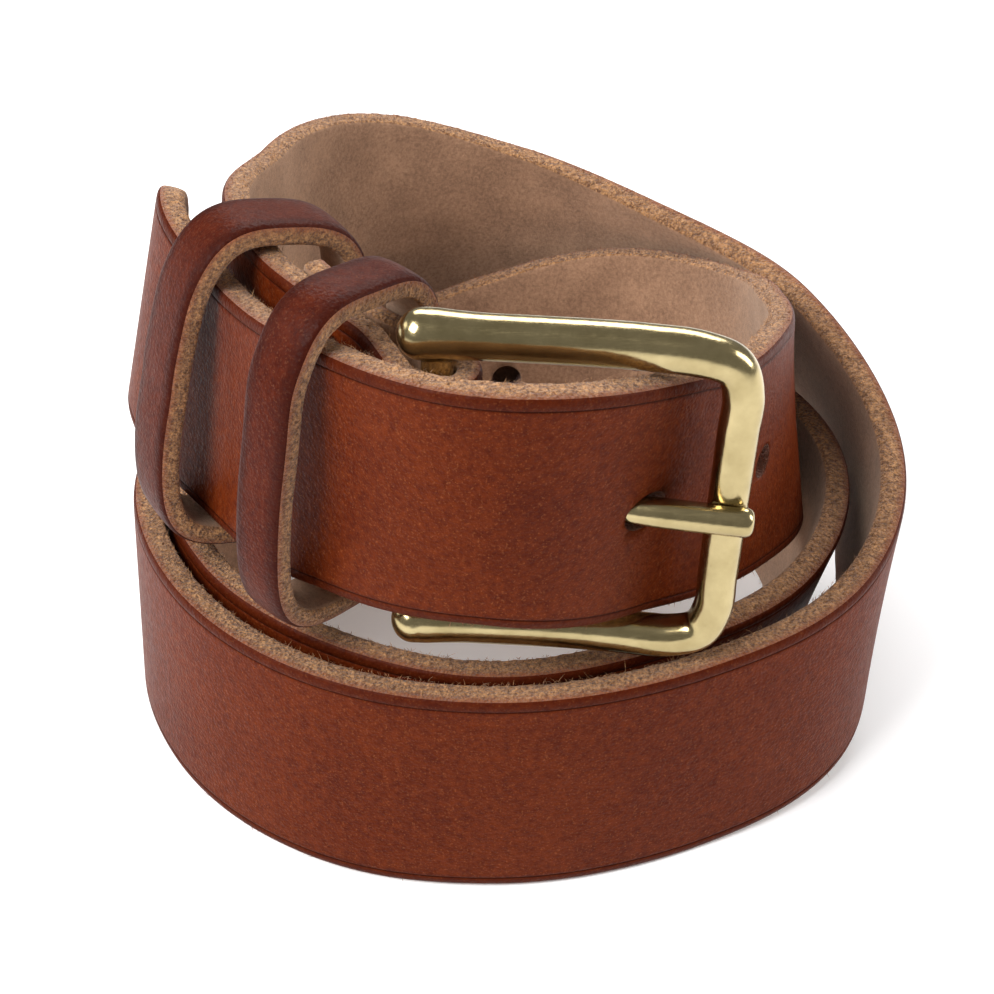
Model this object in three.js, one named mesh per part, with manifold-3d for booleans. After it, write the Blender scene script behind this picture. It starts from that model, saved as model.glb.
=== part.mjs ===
// A leather belt, buckled into a loop and coiled to stand on its lower edge.
// Millimetres, +Z up, the origin under the middle of the coil on the surface that it stands on.
// The strap is one strip. From its tip it runs anticlockwise, seen from above, three and a quarter
// times round the coil: it comes down from the buckle's height to the surface, goes round twice there,
// climbs over its own turns and ends folded round the buckle's heel bar.
import * as THREE from 'three';
import { mergeVertices } from 'three/addons/utils/BufferGeometryUtils.js';
import Module from 'manifold-3d';

const wasm = await Module();
wasm.setup();

// ---- driving dimensions ----
const GAP = 0.3; // between pieces that touch
const COIL = { x: -1.84, y: -1.7 }; // the coil's centre
const STRAP = { width: 38, thickness: 4.2, foldThickness: 3.4, flapThickness: 3.2, flapGap: 0.8 };
const TIP = { angle: 166, length: 12 }; // where the strap starts, and how long its rounded end is
const FOLD_ANGLE = 1337; // where the strap meets the heel bar
const FLAP_ANGLE = 1296; // how far back the folded end reaches
const SKIVE_ANGLE = 1318; // where the strap starts to thin towards the fold
const HOLES = { count: 5, radius: 2.75, pitch: 25.4, firstAngle: 325 }; // besides the prong's own
const FRAME = {
  length: 39.6, // heel bar to outer bar
  width: 47.4, // between the middles of the arms
  reach: 2, // of the arms past the heel bar
  arm: 3.0, // radii
  boss: 3.4,
  bar: 2.7,
  heelBar: 2.2,
  rise: 1.1, // of the outer bar over the heel bar
  swing: 37.3, // degrees that the frame stands inwards of the strap's own direction at the fold
};
const PRONG = {
  radius: 2.1,
  ringRadius: 4.5,
  ringHeight: 4.4,
  overhang: 1.5, // of its tip past the outer bar
  seat: 1.2, // depth of its tip in the outer bar
  start: 3.4, // where its shank leaves the ring
  startRise: 1.0,
  play: 0.95, // clearance round it in the strap
};
const SLOT = { radius: 6.1, height: 5.2 }; // the opening for the prong in the fold
const STITCH = { angles: [1316, 1301], count: 7, pitch: 5, thread: 0.4, hole: 0.8, clear: 0.5 };
const STAPLE = { wire: 0.6, crown: 8, out: 0.6 };
// A keeper is an oval band. Its middle is at an angle, radius and height round the coil. Yaw and tilt
// turn the line through its opening, and roll leans the band about that line, all in degrees.
const KEEPERS = {
  fixed_keeper: {
    angle: 241.3, radius: 44.8, height: 68.9, yaw: -42.1, tilt: -3.1, roll: -7.3,
    halfHeight: 26.4, halfDepth: 15.2, thickness: 3.2, width: 8.4,
  },
  sliding_keeper: {
    angle: 204.9, radius: 39.8, height: 65.7, yaw: -59.6, tilt: 1.6, roll: -15.2,
    halfHeight: 26.1, halfDepth: 15.3, thickness: 3.4, width: 10.4,
  },
};
// The strap's middle line and lean: [turn angle, radius, height, lean]. The angle counts on from turn to
// turn, and a positive lean tips the strap's upper edge outwards.
const ROUTE = [
  [166, 53, 66.5, -12],
  [180, 52.3, 67.2, -13],
  [210, 45.3, 64.5, -8],
  [240, 49.7, 69, -4],
  [270, 57, 71.6, 2.5],
  [300, 48.7, 63.6, 4],
  [330, 44.5, 56, -3],
  [360, 45.2, 48, -8],
  [390, 46.5, 38.5, 8],
  [420, 45.3, 33.5, 12],
  [450, 40.5, 27.5, 10],
  [480, 40, 22, 6],
  [510, 45.2, 19.3, 3],
  [540, 51, 19, 0],
  [570, 51.5, 19, -4],
  [600, 50.2, 19, -3],
  [630, 49.7, 19, 1],
  [660, 46, 19, 11],
  [690, 48, 19, 17],
  [720, 52, 19, 9],
  [750, 52.7, 19, 0],
  [780, 51.5, 19, 0],
  [810, 48.3, 19, 0],
  [840, 47, 19, 0],
  [870, 52.6, 19, 0],
  [900, 57, 19, -3],
  [930, 57, 19, -3],
  [960, 56.3, 19, -1],
  [990, 55, 19, 1],
  [1020, 56, 19, 1],
  [1050, 62, 21.5, 1],
  [1080, 61, 28.5, 2],
  [1110, 62.5, 37.5, -21],
  [1140, 59, 41.5, -20],
  [1170, 57, 47, -7],
  [1200, 53.5, 56.6, 0],
  [1230, 43, 62, -1],
  [1260, 40, 67.5, -5],
  [1290, 37.5, 68.2, -2.5],
  [1320, 42.5, 67.5, -12],
  [1337, 49.7, 67, -2],
];

const rad = THREE.MathUtils.degToRad;
const vec = (x, y, z) => new THREE.Vector3(x, y, z);
const mix = (a, b, t) => a + (b - a) * Math.min(Math.max(t, 0), 1);

// ---- the strap's route ----
const slopes = ROUTE.map((station, i) => {
  const before = ROUTE[Math.max(i - 1, 0)];
  const after = ROUTE[Math.min(i + 1, ROUTE.length - 1)];
  return station.map((value, k) => (after[k] - before[k]) / (after[0] - before[0]));
});

// A value of the route at a turn angle, on a smooth curve through the stations.
function along(column, angle) {
  const next = ROUTE.findIndex((station) => station[0] > angle);
  const i = next < 0 ? ROUTE.length - 2 : Math.max(next - 1, 0);
  const h = ROUTE[i + 1][0] - ROUTE[i][0];
  const t = (angle - ROUTE[i][0]) / h;
  const t2 = t * t;
  const t3 = t2 * t;
  return (
    (2 * t3 - 3 * t2 + 1) * ROUTE[i][column] + (t3 - 2 * t2 + t) * h * slopes[i][column] +
    (3 * t2 - 2 * t3) * ROUTE[i + 1][column] + (t3 - t2) * h * slopes[i + 1][column]
  );
}

function middle(angle) {
  const r = along(1, angle);
  const a = rad(angle);
  return vec(COIL.x + r * Math.cos(a), COIL.y + r * Math.sin(a), along(2, angle));
}

// The strap's section at a turn angle: its middle, and the directions along it, across it towards the
// upper edge, and out of its grain side. No section reaches below the surface.
function station(angle) {
  const point = middle(angle);
  const ahead = middle(angle + 0.5).sub(middle(angle - 0.5)).normalize();
  const upright = vec(0, 0, 1).addScaledVector(ahead, -ahead.z).normalize();
  const outwards = vec(0, 0, 0).crossVectors(ahead, upright);
  const lean = rad(along(3, angle));
  const up = upright.multiplyScalar(Math.cos(lean)).addScaledVector(outwards, Math.sin(lean));
  const out = vec(0, 0, 0).crossVectors(ahead, up);
  const clear = (STRAP.width / 2) * up.z + (STRAP.thickness / 2) * Math.abs(out.z);
  point.z = Math.max(point.z, clear);
  return { point, ahead, up, out };
}

// The turn angle that lies a given length of strap past another.
function advance(angle, length) {
  let at = angle;
  let left = length;
  const step = 0.25;
  while (left > 0) {
    left -= middle(at).distanceTo(middle(at + step));
    at += step;
  }
  return at;
}

const fold = station(FOLD_ANGLE);
const foldRadius = FRAME.heelBar + GAP + STRAP.foldThickness / 2;
const heel = fold.point.clone().addScaledVector(fold.out, -foldRadius);

// ---- solids ----
// Moves a box or cylinder two units across, standing on Y, onto a row of sections: each section has a
// point and the vectors that X and Z become there.
function bend(geometry, sections) {
  const position = geometry.attributes.position;
  for (let i = 0; i < position.count; i += 1) {
    const row = Math.round((position.getY(i) + 0.5) * (sections.length - 1));
    const { point, x, z } = sections[row];
    const moved = point.clone().addScaledVector(x, position.getX(i)).addScaledVector(z, position.getZ(i));
    position.setXYZ(i, moved.x, moved.y, moved.z);
  }
  return solid(geometry);
}

function solid(geometry) {
  const shape = geometry.clone();
  shape.deleteAttribute('normal');
  shape.deleteAttribute('uv');
  const merged = mergeVertices(shape, 1e-5);
  const points = merged.attributes.position.array;
  const faces = Uint32Array.from(merged.index.array);
  const corner = (i) => vec(...points.subarray(3 * i, 3 * i + 3));
  let volume = 0;
  for (let i = 0; i < faces.length; i += 3) {
    volume += corner(faces[i]).dot(corner(faces[i + 1]).cross(corner(faces[i + 2])));
  }
  if (volume < 0) faces.reverse();
  return new wasm.Manifold(new wasm.Mesh({ numProp: 3, vertProperties: points, triVerts: faces }));
}

function mesh(name, shape, colour, roughness, metalness) {
  const data = shape.getMesh();
  const geometry = new THREE.BufferGeometry();
  geometry.setAttribute('position', new THREE.BufferAttribute(data.vertProperties, 3));
  geometry.setIndex(new THREE.BufferAttribute(data.triVerts, 1));
  const material = new THREE.MeshStandardMaterial({ color: colour, roughness, metalness });
  const part = new THREE.Mesh(geometry, material);
  part.name = name;
  return part;
}

// A solid placed at a point with its X, Y and Z along three directions.
function placed(geometry, point, x, y, z) {
  const matrix = new THREE.Matrix4().makeBasis(x, y, z).setPosition(point);
  return solid(geometry.clone().applyMatrix4(matrix));
}

// A round rod between two points.
function rod(from, to, radius, sides = 16) {
  const axis = to.clone().sub(from);
  const cylinder = new THREE.CylinderGeometry(radius, radius, axis.length(), sides);
  const turn = new THREE.Quaternion().setFromUnitVectors(vec(0, 1, 0), axis.clone().normalize());
  const centre = from.clone().lerp(to, 0.5);
  return solid(cylinder.applyQuaternion(turn).translate(centre.x, centre.y, centre.z));
}

function ball(point, radius) {
  return solid(new THREE.SphereGeometry(radius, 16, 12).translate(point.x, point.y, point.z));
}

// ---- strap ----
function strapSection({ point, up, out }, thickness, halfWidth = STRAP.width / 2) {
  return { point, x: out.clone().multiplyScalar(thickness / 2), z: up.clone().multiplyScalar(halfWidth) };
}

function tipSections() {
  const shares = [0.02, 0.08, 0.2, 0.4, 0.65, 1];
  return shares.map((share) => {
    const here = station(advance(TIP.angle, share * TIP.length));
    const halfWidth = (STRAP.width / 2) * Math.sqrt(1 - (1 - share) ** 2);
    return strapSection(here, STRAP.thickness, halfWidth);
  });
}

function coilSections() {
  const sections = [];
  const start = Math.ceil(advance(TIP.angle, TIP.length)) + 2;
  const steps = Math.round((FOLD_ANGLE - start) / 5);
  for (let i = 0; i <= steps; i += 1) {
    const angle = mix(start, FOLD_ANGLE, i / steps);
    const thin = (angle - SKIVE_ANGLE) / (FOLD_ANGLE - SKIVE_ANGLE);
    sections.push(strapSection(station(angle), mix(STRAP.thickness, STRAP.foldThickness, thin)));
  }
  return sections;
}

function foldSections() {
  const sections = [];
  const steps = 10;
  for (let i = 1; i < steps; i += 1) {
    const turn = (Math.PI * i) / steps;
    const out = fold.out.clone().multiplyScalar(Math.cos(turn)).addScaledVector(fold.ahead, Math.sin(turn));
    const point = heel.clone().addScaledVector(out, foldRadius);
    sections.push(strapSection({ point, up: fold.up, out }, STRAP.foldThickness));
  }
  return sections;
}

// The folded end lies back along the inside of the strap. Its distance from the strap's middle narrows
// from the fold's width until the two layers lie together.
function flapDistance(share) {
  const closed = Math.min(2 * share, 1);
  const eased = closed * closed * (3 - 2 * closed);
  return mix(2 * foldRadius, STRAP.thickness / 2 + STRAP.flapGap + STRAP.flapThickness / 2, eased);
}

function flapSections() {
  const sections = [];
  const steps = 8;
  for (let i = 0; i <= steps; i += 1) {
    const share = i / steps;
    const strap = station(mix(FOLD_ANGLE, FLAP_ANGLE, share));
    const point = strap.point.addScaledVector(strap.out, -flapDistance(share));
    const thickness = mix(STRAP.foldThickness, STRAP.flapThickness, share);
    sections.push(strapSection({ point, up: strap.up, out: strap.out.negate() }, thickness));
  }
  return sections;
}

function holeCutters() {
  const cutters = [];
  for (let i = 0; i < HOLES.count; i += 1) {
    const { point, out } = station(advance(HOLES.firstAngle, i * HOLES.pitch));
    const reach = out.clone().multiplyScalar(STRAP.thickness);
    cutters.push(rod(point.clone().sub(reach), point.clone().add(reach), HOLES.radius, 20));
  }
  return cutters;
}

// ---- buckle, in directions of its own: along from heel bar to outer bar, up, and out ----
const buckle = (() => {
  const turn = rad(FRAME.swing);
  const ahead = fold.ahead.clone().multiplyScalar(Math.cos(turn)).addScaledVector(fold.out, -Math.sin(turn));
  const out = new THREE.Vector3().crossVectors(ahead, fold.up);
  return { along: ahead, up: fold.up, out };
})();

function atBuckle(ahead, out, up) {
  const point = heel.clone().addScaledVector(buckle.along, ahead);
  return point.addScaledVector(buckle.out, out).addScaledVector(buckle.up, up);
}

const prongStart = atBuckle(PRONG.start, PRONG.startRise, 0);
const onBar = FRAME.rise + FRAME.bar + PRONG.radius - PRONG.seat;
const prongTip = atBuckle(FRAME.length + PRONG.overhang, onBar, 0);

function frameSolid() {
  const half = FRAME.width / 2;
  const { length, rise } = FRAME;
  const upperHalf = [
    [-FRAME.reach, 0, half], [6, 0, half], [20, 0, half], [length - 13, 0.3 * rise, half],
    [length - 5.5, 0.9 * rise, half - 0.3], [length - 1.6, rise, half - 1.8], [length, rise, half - 6],
    [length, rise, half / 2],
  ];
  const lowerHalf = upperHalf.map(([a, o, u]) => [a, o, -u]).reverse();
  const curve = new THREE.CatmullRomCurve3(
    [...upperHalf, ...lowerHalf].map(([a, o, u]) => vec(a, o, u)), false, 'centripetal',
  );
  const steps = 44;
  const sections = curve.getSpacedPoints(steps).map((local, i) => {
    const tangent = curve.getTangentAt(i / steps);
    const side = vec(0, 1, 0);
    const across = vec(0, 0, 0).crossVectors(side, tangent).normalize();
    const barShare = Math.max(0, Math.min(1, (local.x - length + 8) / 8));
    const bossShare = Math.max(0, 1 - local.x / 6);
    const radius = mix(FRAME.arm, FRAME.bar, barShare) + (FRAME.boss - FRAME.arm) * bossShare;
    const world = (v) => atBuckle(v.x, v.y, v.z).sub(heel);
    return {
      point: atBuckle(local.x, local.y, local.z),
      x: world(side).multiplyScalar(radius),
      z: world(across).multiplyScalar(radius),
    };
  });
  let shape = bend(new THREE.CylinderGeometry(1, 1, 1, 14, sections.length - 1), sections);
  shape = shape.add(ball(atBuckle(-FRAME.reach, 0, half), FRAME.boss));
  shape = shape.add(ball(atBuckle(-FRAME.reach, 0, -half), FRAME.boss));
  shape = shape.add(rod(atBuckle(0, 0, -half), atBuckle(0, 0, half), FRAME.heelBar, 20));
  const seat = rod(prongStart, prongTip, PRONG.radius + GAP).add(ball(prongTip, PRONG.radius + GAP));
  const nearHeel = rod(atBuckle(0, 0, -6), atBuckle(0, 0, 6), 12, 24);
  return shape.subtract(seat.subtract(nearHeel));
}

function prongSolid() {
  const inner = FRAME.heelBar + GAP;
  const half = PRONG.ringHeight / 2;
  const profile = [
    [inner, -half], [PRONG.ringRadius - 0.8, -half], [PRONG.ringRadius, -half + 0.9],
    [PRONG.ringRadius, half - 0.9], [PRONG.ringRadius - 0.8, half], [inner, half], [inner, -half],
  ].map(([r, y]) => new THREE.Vector2(r, y));
  const lathe = new THREE.LatheGeometry(profile, 28);
  const ring = placed(lathe, heel, buckle.along, buckle.up, buckle.out.clone().negate());
  return ring.add(rod(prongStart, prongTip, PRONG.radius)).add(ball(prongTip, PRONG.radius));
}

// ---- keepers ----
function keeperFrame({ angle, radius, height, yaw, tilt, roll }) {
  const centre = vec(COIL.x + radius * Math.cos(rad(angle)), COIL.y + radius * Math.sin(rad(angle)), height);
  const level = vec(Math.cos(rad(yaw)), Math.sin(rad(yaw)), 0);
  const through = level.multiplyScalar(Math.cos(rad(tilt))).add(vec(0, 0, Math.sin(rad(tilt))));
  const upright = vec(0, 0, 1).addScaledVector(through, -through.z).normalize();
  const outwards = vec(0, 0, 0).crossVectors(through, upright);
  const up = upright.multiplyScalar(Math.cos(rad(roll))).addScaledVector(outwards, Math.sin(rad(roll)));
  return { centre, through, up, out: vec(0, 0, 0).crossVectors(through, up) };
}

// A point of an oval with flattened sides, at a share of the way round.
function ovalPoint(share, halfDepth, halfHeight) {
  const squareness = 2 / 3.4;
  const c = Math.cos(2 * Math.PI * share);
  const s = Math.sin(2 * Math.PI * share);
  const flat = (value) => Math.sign(value) * Math.abs(value) ** squareness;
  return new THREE.Vector2(halfDepth * flat(c), halfHeight * flat(s));
}

function oval(halfDepth, halfHeight) {
  return Array.from({ length: 44 }, (_, i) => ovalPoint((i + 0.5) / 44, halfDepth, halfHeight));
}

// The staple that closes a keeper's ends, on the run nearest the coil's middle.
function stapleSections(keeper, wire) {
  const { centre, through, up, out } = keeperFrame(keeper);
  const outside = -keeper.halfDepth - GAP - STAPLE.wire;
  const inside = -keeper.halfDepth + keeper.thickness + STAPLE.out;
  const h = STAPLE.crown / 2;
  const corners = [[inside, -h], [outside, -h], [outside, h], [inside, h]];
  return corners.map(([o, u], i) => {
    const bendHere = i === 1 || i === 2;
    const x = bendHere ? out.clone().addScaledVector(up, i === 1 ? 1 : -1) : up.clone();
    if (!bendHere && i === 3) x.negate();
    const point = centre.clone().addScaledVector(out, o).addScaledVector(up, u);
    return { point, x: x.multiplyScalar(wire), z: through.clone().multiplyScalar(wire) };
  });
}

function stapleSolid(keeper, wire) {
  return bend(new THREE.CylinderGeometry(1, 1, 1, 8, 3), stapleSections(keeper, wire));
}

function keeperSolid(keeper) {
  const { centre, through, up, out } = keeperFrame(keeper);
  const band = new THREE.Shape(oval(keeper.halfDepth, keeper.halfHeight));
  const inside = oval(keeper.halfDepth - keeper.thickness, keeper.halfHeight - keeper.thickness);
  band.holes.push(new THREE.Path(inside));
  const geometry = new THREE.ExtrudeGeometry(band, { depth: keeper.width, bevelEnabled: false });
  geometry.translate(0, 0, -keeper.width / 2);
  return placed(geometry, centre, out, up, through).subtract(stapleSolid(keeper, STAPLE.wire + GAP));
}

// ---- stitching of the folded end ----
// The thread passes in and out of both layers, with each run lying clear of the leather.
function stitchPlaces(angle) {
  const strap = station(angle);
  const share = (FOLD_ANGLE - angle) / (FOLD_ANGLE - FLAP_ANGLE);
  const rest = STITCH.clear + STITCH.thread;
  const outer = STRAP.thickness / 2 + rest;
  const inner = -flapDistance(share) - STRAP.foldThickness / 2 - rest;
  return { strap, outer, inner };
}

function threadSolid(angle) {
  const { strap, outer, inner } = stitchPlaces(angle);
  const corners = [];
  for (let i = 0; i < STITCH.count; i += 1) {
    const u = (i - (STITCH.count - 1) / 2) * STITCH.pitch;
    const inwards = i % 2 === 0;
    corners.push([inwards ? outer : inner, u], [inwards ? inner : outer, u]);
  }
  const sections = corners.map(([o, u], i) => {
    const last = i === corners.length - 1;
    const [before, after] = [corners[Math.max(i - 1, 0)], corners[last ? i : i + 1]];
    const into = new THREE.Vector2(o - before[0], u - before[1]).normalize();
    const onward = new THREE.Vector2(after[0] - o, after[1] - u).normalize();
    const sum = into.add(onward);
    const reach = STITCH.thread * (i === 0 || last ? 1 : Math.SQRT2);
    const side = sum.normalize().rotateAround(new THREE.Vector2(), Math.PI / 2).multiplyScalar(reach);
    return {
      point: strap.point.clone().addScaledVector(strap.out, o).addScaledVector(strap.up, u),
      x: strap.out.clone().multiplyScalar(side.x).addScaledVector(strap.up, side.y),
      z: strap.ahead.clone().multiplyScalar(STITCH.thread),
    };
  });
  return bend(new THREE.CylinderGeometry(1, 1, 1, 8, sections.length - 1), sections);
}

function stitchHoles(angle) {
  const { strap, outer, inner } = stitchPlaces(angle);
  return Array.from({ length: STITCH.count }, (_, i) => {
    const u = (i - (STITCH.count - 1) / 2) * STITCH.pitch;
    const base = strap.point.clone().addScaledVector(strap.up, u);
    const from = base.clone().addScaledVector(strap.out, outer);
    return rod(from, base.clone().addScaledVector(strap.out, inner), STITCH.hole, 8);
  });
}

function strapSolid() {
  const sections = [...tipSections(), ...coilSections(), ...foldSections(), ...flapSections()];
  let shape = bend(new THREE.BoxGeometry(2, 1, 2, 1, sections.length - 1, 1), sections);
  const halfSlot = fold.up.clone().multiplyScalar(SLOT.height / 2);
  const cutters = [
    ...holeCutters(),
    rod(atBuckle(12, PRONG.startRise + 0.7, 0), prongTip, PRONG.radius + PRONG.play),
    rod(heel.clone().sub(halfSlot), heel.clone().add(halfSlot), SLOT.radius, 32),
    ...STITCH.angles.flatMap(stitchHoles),
  ];
  cutters.forEach((cutter) => {
    shape = shape.subtract(cutter);
  });
  return shape;
}

// ---- the belt ----
const LEATHER = 0x8a4a2e;
const BRASS = 0xb59a58;
const belt = new THREE.Group();
belt.add(mesh('strap', strapSolid(), LEATHER, 0.55, 0));
belt.add(mesh('buckle_frame', frameSolid(), BRASS, 0.25, 1));
belt.add(mesh('prong', prongSolid(), BRASS, 0.25, 1));
Object.entries(KEEPERS).forEach(([name, keeper]) => {
  belt.add(mesh(name, keeperSolid(keeper), LEATHER, 0.55, 0));
  belt.add(mesh(`${name}_staple`, stapleSolid(keeper, STAPLE.wire), 0x9c9c98, 0.4, 1));
});
STITCH.angles.forEach((angle, i) => {
  belt.add(mesh(`turn_back_thread_${i + 1}`, threadSolid(angle), 0x5a3a26, 0.8, 0));
});

export default belt;
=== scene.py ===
"""A coiled leather belt with a brass buckle: its looks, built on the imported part.

Everything is in the part's own frame: metres, +Z up, the belt standing on z = 0.
"""
import math

import bpy
import numpy as np
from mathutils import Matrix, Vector


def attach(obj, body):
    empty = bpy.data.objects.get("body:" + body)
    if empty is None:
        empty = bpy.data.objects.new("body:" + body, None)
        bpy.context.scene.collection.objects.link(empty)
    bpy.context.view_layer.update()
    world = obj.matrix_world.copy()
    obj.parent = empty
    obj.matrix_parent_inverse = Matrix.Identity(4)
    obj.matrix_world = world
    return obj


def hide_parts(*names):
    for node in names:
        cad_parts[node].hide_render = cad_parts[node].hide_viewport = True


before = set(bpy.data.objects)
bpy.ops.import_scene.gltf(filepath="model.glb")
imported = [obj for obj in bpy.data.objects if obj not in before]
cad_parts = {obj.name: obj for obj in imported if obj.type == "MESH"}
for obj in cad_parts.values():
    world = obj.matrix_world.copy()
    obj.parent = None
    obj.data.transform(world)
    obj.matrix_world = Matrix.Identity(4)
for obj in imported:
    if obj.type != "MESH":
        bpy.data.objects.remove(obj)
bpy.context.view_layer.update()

MM = 0.001
SEED = 11

# ---- driving dimensions, in millimetres, as in the part ----
COIL = np.array([-1.84, -1.7])
WIDTH = 38.0
THICK = 4.2
FOLD_THICK = 3.4
FLAP_THICK = 3.2
FLAP_GAP = 0.8
TIP_ANGLE = 166.0
TIP_LENGTH = 12.0
FOLD_ANGLE = 1337.0
FLAP_ANGLE = 1296.0
SKIVE_ANGLE = 1318.0
HOLES = {"count": 5, "radius": 2.6, "pitch": 25.4, "first": 325.0}  # besides the prong's own
BUCKLE = {
    "length": 39.6, "width": 47.4, "reach": 2.0, "arm": 3.0, "boss": 3.45, "bar": 2.75,
    "heel_bar": 2.2, "rise": 1.1, "swing": 37.3,
}
PRONG = {
    "radius": 2.1, "ring": 4.5, "ring_height": 4.4, "overhang": 1.5, "seat": 1.2,
    "start": 3.4, "start_rise": 1.0,
}
SLOT = {"radius": 6.1, "height": 5.2}
STITCH = {"angles": (1316.0, 1301.0), "count": 7, "pitch": 5.0, "thread": 0.4, "hole": 0.6, "clear": 0.5}
STAPLE = {"wire": 0.55, "crown": 8.0, "out": 0.6}
KEEPERS = {
    "fixed_keeper": {
        "angle": 241.3, "radius": 44.8, "height": 68.9, "yaw": -42.1, "tilt": -3.1, "roll": -7.3,
        "half_height": 26.4, "half_depth": 15.2, "thickness": 3.2, "width": 8.4, "body": "strap",
    },
    "sliding_keeper": {
        "angle": 204.9, "radius": 39.8, "height": 65.7, "yaw": -59.6, "tilt": 1.6, "roll": -15.2,
        "half_height": 26.1, "half_depth": 15.3, "thickness": 3.4, "width": 10.4, "body": "sliding_keeper",
    },
}
# The strap's middle line and lean: turn angle, radius, height, lean.
ROUTE = np.array([
    (166, 53, 66.5, -12), (180, 52.3, 67.2, -13), (210, 45.3, 64.5, -8), (240, 49.7, 69, -4),
    (270, 57, 71.6, 2.5), (300, 48.7, 63.6, 4), (330, 44.5, 56, -3), (360, 45.2, 48, -8),
    (390, 46.5, 38.5, 8), (420, 45.3, 33.5, 12), (450, 40.5, 27.5, 10), (480, 40, 22, 6),
    (510, 45.2, 19.3, 3), (540, 51, 19, 0), (570, 51.5, 19, -4), (600, 50.2, 19, -3),
    (630, 49.7, 19, 1), (660, 46, 19, 11), (690, 48, 19, 17), (720, 52, 19, 9),
    (750, 52.7, 19, 0), (780, 51.5, 19, 0), (810, 48.3, 19, 0), (840, 47, 19, 0),
    (870, 52.6, 19, 0), (900, 57, 19, -3), (930, 57, 19, -3), (960, 56.3, 19, -1),
    (990, 55, 19, 1), (1020, 56, 19, 1), (1050, 62, 21.5, 1), (1080, 61, 28.5, 2),
    (1110, 62.5, 37.5, -21), (1140, 59, 41.5, -20), (1170, 57, 47, -7), (1200, 53.5, 56.6, 0),
    (1230, 43, 62, -1), (1260, 40, 67.5, -5), (1290, 37.5, 68.2, -2.5), (1320, 42.5, 67.5, -12),
    (1337, 49.7, 67, -2),
], float)
# The camera: how far it stands from its target, its angle above level, and its lens.
CAMERA = {"distance": 371.4, "elevation": 37.0, "lens": 70.6, "target": (-1.84, 39.0, 0.0)}


# ---- small tools ----
def unit(v):
    return v / np.linalg.norm(v, axis=-1, keepdims=True)


def smooth_step(t):
    t = np.clip(t, 0, 1)
    return t * t * (3 - 2 * t)


def wander(count, reach, rng, rows=1):
    """Smooth random values between about -1 and 1, that change over `reach` steps."""
    rough = rng.standard_normal((rows, count + 4 * reach))
    window = np.hanning(2 * reach + 1)
    smooth = np.array([np.convolve(row, window / window.sum(), "same") for row in rough])
    smooth = smooth[:, 2 * reach:2 * reach + count]
    return np.squeeze(smooth / (2 * smooth.std() + 1e-9))


# ---- the strap's route ----
def along(column, angle):
    """A value of the route on a smooth curve through its stations."""
    x, y = ROUTE[:, 0], ROUTE[:, column]
    before = np.maximum(np.arange(len(x)) - 1, 0)
    after = np.minimum(np.arange(len(x)) + 1, len(x) - 1)
    slope = (y[after] - y[before]) / (x[after] - x[before])
    i = np.clip(np.searchsorted(x, angle, side="right") - 1, 0, len(x) - 2)
    h = x[i + 1] - x[i]
    t = (angle - x[i]) / h
    return (
        (2 * t**3 - 3 * t**2 + 1) * y[i] + (t**3 - 2 * t**2 + t) * h * slope[i]
        + (3 * t**2 - 2 * t**3) * y[i + 1] + (t**3 - t**2) * h * slope[i + 1]
    )


def middle(angle):
    angle = np.asarray(angle, float)
    r, a = along(1, angle), np.radians(angle)
    return np.stack([COIL[0] + r * np.cos(a), COIL[1] + r * np.sin(a), along(2, angle)], -1)


def stations(angle):
    """Middle points, and the directions along, across and out of the grain side."""
    point = middle(angle)
    ahead = unit(middle(angle + 0.5) - middle(angle - 0.5))
    upright = unit(np.array([0, 0, 1.0]) - ahead * ahead[..., 2:3])
    outwards = np.cross(ahead, upright)
    lean = np.radians(along(3, angle))[..., None]
    up = upright * np.cos(lean) + outwards * np.sin(lean)
    out = np.cross(ahead, up)
    clear = (WIDTH / 2) * up[..., 2] + (THICK / 2) * np.abs(out[..., 2])
    point[..., 2] = np.maximum(point[..., 2], clear)
    return point, ahead, up, out


TABLE_ANGLES = np.arange(TIP_ANGLE, FOLD_ANGLE + 0.01, 0.25)
TABLE_STEPS = np.linalg.norm(np.diff(middle(TABLE_ANGLES), axis=0), axis=1)
TABLE_LENGTHS = np.concatenate([[0], np.cumsum(TABLE_STEPS)])


def angle_at(length):
    return np.interp(length, TABLE_LENGTHS, TABLE_ANGLES)


def length_at(angle):
    return np.interp(angle, TABLE_ANGLES, TABLE_LENGTHS)


fold_point, fold_ahead, fold_up, fold_out = (v[0] for v in stations(np.array([FOLD_ANGLE])))
FOLD_RADIUS = BUCKLE["heel_bar"] + 0.3 + FOLD_THICK / 2
HEEL = fold_point - FOLD_RADIUS * fold_out
SWING = math.radians(BUCKLE["swing"])
BUCKLE_ALONG = fold_ahead * math.cos(SWING) - fold_out * math.sin(SWING)
BUCKLE_OUT = np.cross(BUCKLE_ALONG, fold_up)


def at_buckle(local):
    """Points in the buckle's own directions: along to the outer bar, out, and up."""
    local = np.asarray(local, float)
    axes = np.stack([BUCKLE_ALONG, BUCKLE_OUT, fold_up])
    return HEEL + local @ axes


PRONG_START = at_buckle((PRONG["start"], PRONG["start_rise"], 0))
PRONG_TIP = at_buckle((
    BUCKLE["length"] + PRONG["overhang"], BUCKLE["rise"] + BUCKLE["bar"] + PRONG["radius"] - PRONG["seat"], 0,
))


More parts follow.
